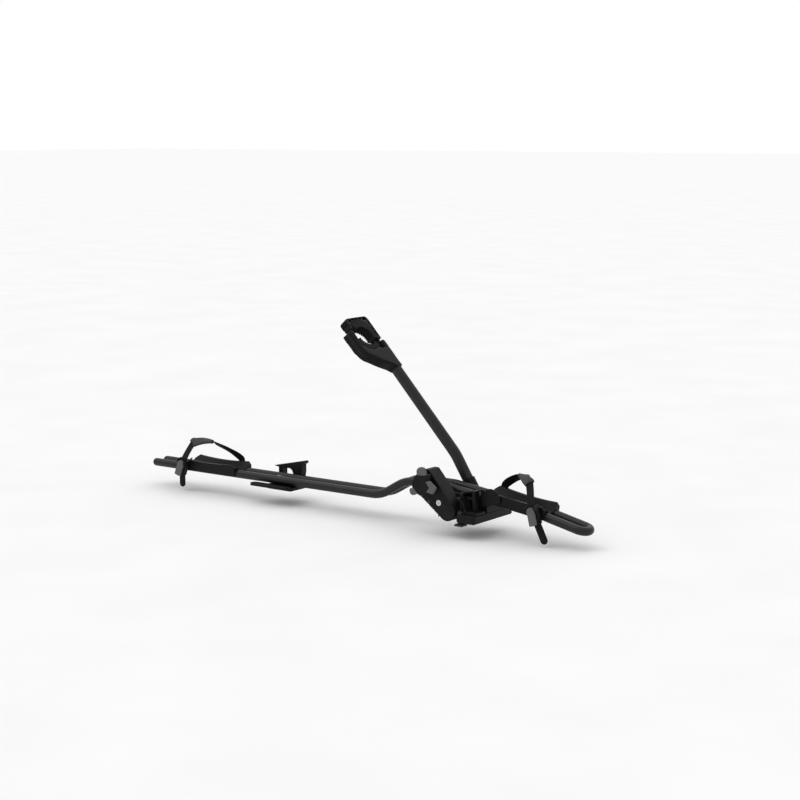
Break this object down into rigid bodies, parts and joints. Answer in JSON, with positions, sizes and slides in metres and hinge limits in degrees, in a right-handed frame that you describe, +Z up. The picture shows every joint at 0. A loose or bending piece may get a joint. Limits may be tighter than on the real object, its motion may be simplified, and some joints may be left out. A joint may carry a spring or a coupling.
{
  "type": "roof bike carrier",
  "caption": "Roof carrier for one upright bicycle: twin-tube rail, folding arm with a knob-driven frame claw, two strapped wheel trays and clamping feet.",
  "frame": {"origin": "centre of the front foot's seat on the cross bar's top face", "axes": "+X towards the front of the car along the rail, +Y to the arm's side, +Z up"},
  "size_m": [1.3884, 0.1948, 0.4997],
  "materials": {
    "black_tube": "satin",
    "black_plastic": "satin",
    "grey_plastic": "matte",
    "black_strap": "matte",
    "grey_rubber": "matte",
    "black_rubber": "matte",
    "steel": "satin",
    "pulley_plastic": "matte",
    "lock_metal": "satin"
  },
  "bodies": {
    "carrier": {"rail_tube_near": "black_tube", "rail_tube_far": "black_tube", "rail_web": "black_tube", "rail_rear_caps": "black_plastic", "rail_nose": "black_tube", "front_wheel_tray": "black_plastic", "front_strap": "black_strap", "front_rim_pad": "grey_rubber", "front_buckle_body": "black_plastic", "front_buckle_pin": "steel", "front_strap_rivet": "steel", "front_foot_base": "black_plastic", "front_foot_pad": "black_rubber", "front_foot_tower": "black_plastic", "front_foot_cover": "black_plastic", "front_side_plate": "black_plastic", "pivot_bushes": "black_plastic", "front_t_bolts": "steel", "front_nuts": "steel"},
    "front_lever": {"front_buckle_lever": "grey_plastic"},
    "rear_tray": {"rear_wheel_tray": "black_plastic", "rear_strap": "black_strap", "rear_rim_pad": "grey_rubber", "rear_buckle_body": "black_plastic", "rear_buckle_pin": "steel", "rear_strap_rivet": "steel", "rear_tray_clamp": "steel", "rear_tray_screw": "steel"},
    "rear_lever": {"rear_buckle_lever": "grey_plastic"},
    "rear_foot": {"rear_foot_plate": "black_plastic", "rear_foot_pad": "black_rubber", "rear_foot_clamp": "steel", "rear_foot_screw": "steel"},
    "rear_bolt": {"rear_t_bolt": "steel", "rear_lever_pin": "steel"},
    "rear_clamp": {"rear_clamp_lever": "black_plastic"},
    "arm": {"arm_tube": "black_tube", "arm_knuckle": "black_plastic", "cross_barrel": "steel", "flexible_shaft": "steel", "housing_shell": "black_plastic", "housing_cover": "black_plastic", "housing_screws": "steel", "drive_belt": "black_rubber", "cross_shaft_bushes": "black_plastic", "claw_palm": "black_plastic", "palm_pad": "black_rubber", "jaw_pin": "steel"},
    "knob": {"knob_core": "black_plastic", "knob_tips": "grey_plastic", "knob_shaft": "steel", "drive_pulley": "pulley_plastic", "torque_limiter": "steel"},
    "cross_shaft": {"cross_shaft": "steel", "driven_pulley": "pulley_plastic"},
    "drive_screw": {"drive_screw": "steel"},
    "drive_fork": {"drive_fork": "steel"},
    "jaw": {"claw_jaw": "black_plastic", "jaw_pad": "black_rubber"},
    "lock": {"lock_barrel": "lock_metal"}
  },
  "joints": [
    {"name": "arm_fold", "type": "hinge", "parent": "carrier", "child": "arm", "pos_m": [-0.035, 0, 0.025], "axis": [0, 1, 0], "range_deg": [-40, 12]},
    {"name": "knob_turn", "type": "hinge", "parent": "arm", "child": "knob", "pos_m": [-0.09411, 0, 0.08883], "axis": [0, 1, 0], "range_deg": [-900, 90]},
    {"name": "cross_shaft_turn", "type": "hinge", "parent": "arm", "child": "cross_shaft", "pos_m": [-0.035, 0, 0.025], "axis": [0, 1, 0], "range_deg": [-901, 91]},
    {"name": "drive_screw_turn", "type": "hinge", "parent": "arm", "child": "drive_screw", "pos_m": [-0.358, 0.043, 0.41], "axis": [-0.6794, 0, 0.7337], "range_deg": [-901, 91]},
    {"name": "drive_fork_slide", "type": "slide", "parent": "arm", "child": "drive_fork", "axis": [-0.6794, 0, 0.7337], "range_m": [-0.00051, 0.00501]},
    {"name": "jaw_swing", "type": "hinge", "parent": "arm", "child": "jaw", "pos_m": [-0.33218, 0.053, 0.38212], "axis": [0.7337, 0, 0.6794], "range_deg": [-26.4, 2.7]},
    {"name": "lock_turn", "type": "hinge", "parent": "arm", "child": "lock", "pos_m": [-0.05696, 0, 0.04283], "axis": [0, 1, 0], "range_deg": [0, 90]},
    {"name": "front_lever_lift", "type": "hinge", "parent": "carrier", "child": "front_lever", "pos_m": [0.18215, -0.0582, 0.05119], "axis": [-0.9711, 0, -0.2388], "range_deg": [0, 70]},
    {"name": "rear_tray_slide", "type": "slide", "parent": "carrier", "child": "rear_tray", "axis": [1, 0, 0], "range_m": [-0.1, 0.04]},
    {"name": "rear_lever_lift", "type": "hinge", "parent": "rear_tray", "child": "rear_lever", "pos_m": [-0.93308, -0.0582, 0.04215], "axis": [-0.9298, 0, 0.3681], "range_deg": [0, 70]},
    {"name": "rear_foot_slide", "type": "slide", "parent": "carrier", "child": "rear_foot", "axis": [1, 0, 0], "range_m": [-0.016, 0.15]},
    {"name": "rear_bolt_drop", "type": "slide", "parent": "rear_foot", "child": "rear_bolt", "axis": [0, 0, 1], "range_m": [-0.0008, 0]},
    {"name": "rear_clamp_turn", "type": "hinge", "parent": "rear_bolt", "child": "rear_clamp", "pos_m": [-0.606, 0.048, 0.024], "axis": [0, 1, 0], "range_deg": [0, 50]}
  ],
  "couplings": [
    {"joint": "cross_shaft_turn", "follows": "knob_turn", "ratio": 1},
    {"joint": "drive_screw_turn", "follows": "knob_turn", "ratio": 1},
    {"joint": "drive_fork_slide", "follows": "knob_turn", "m_per_rad": -0.00031831},
    {"joint": "jaw_swing", "follows": "knob_turn", "ratio": 0.029222},
    {"joint": "rear_bolt_drop", "follows": "rear_clamp_turn", "m_per_rad": -0.0009}
  ]
}
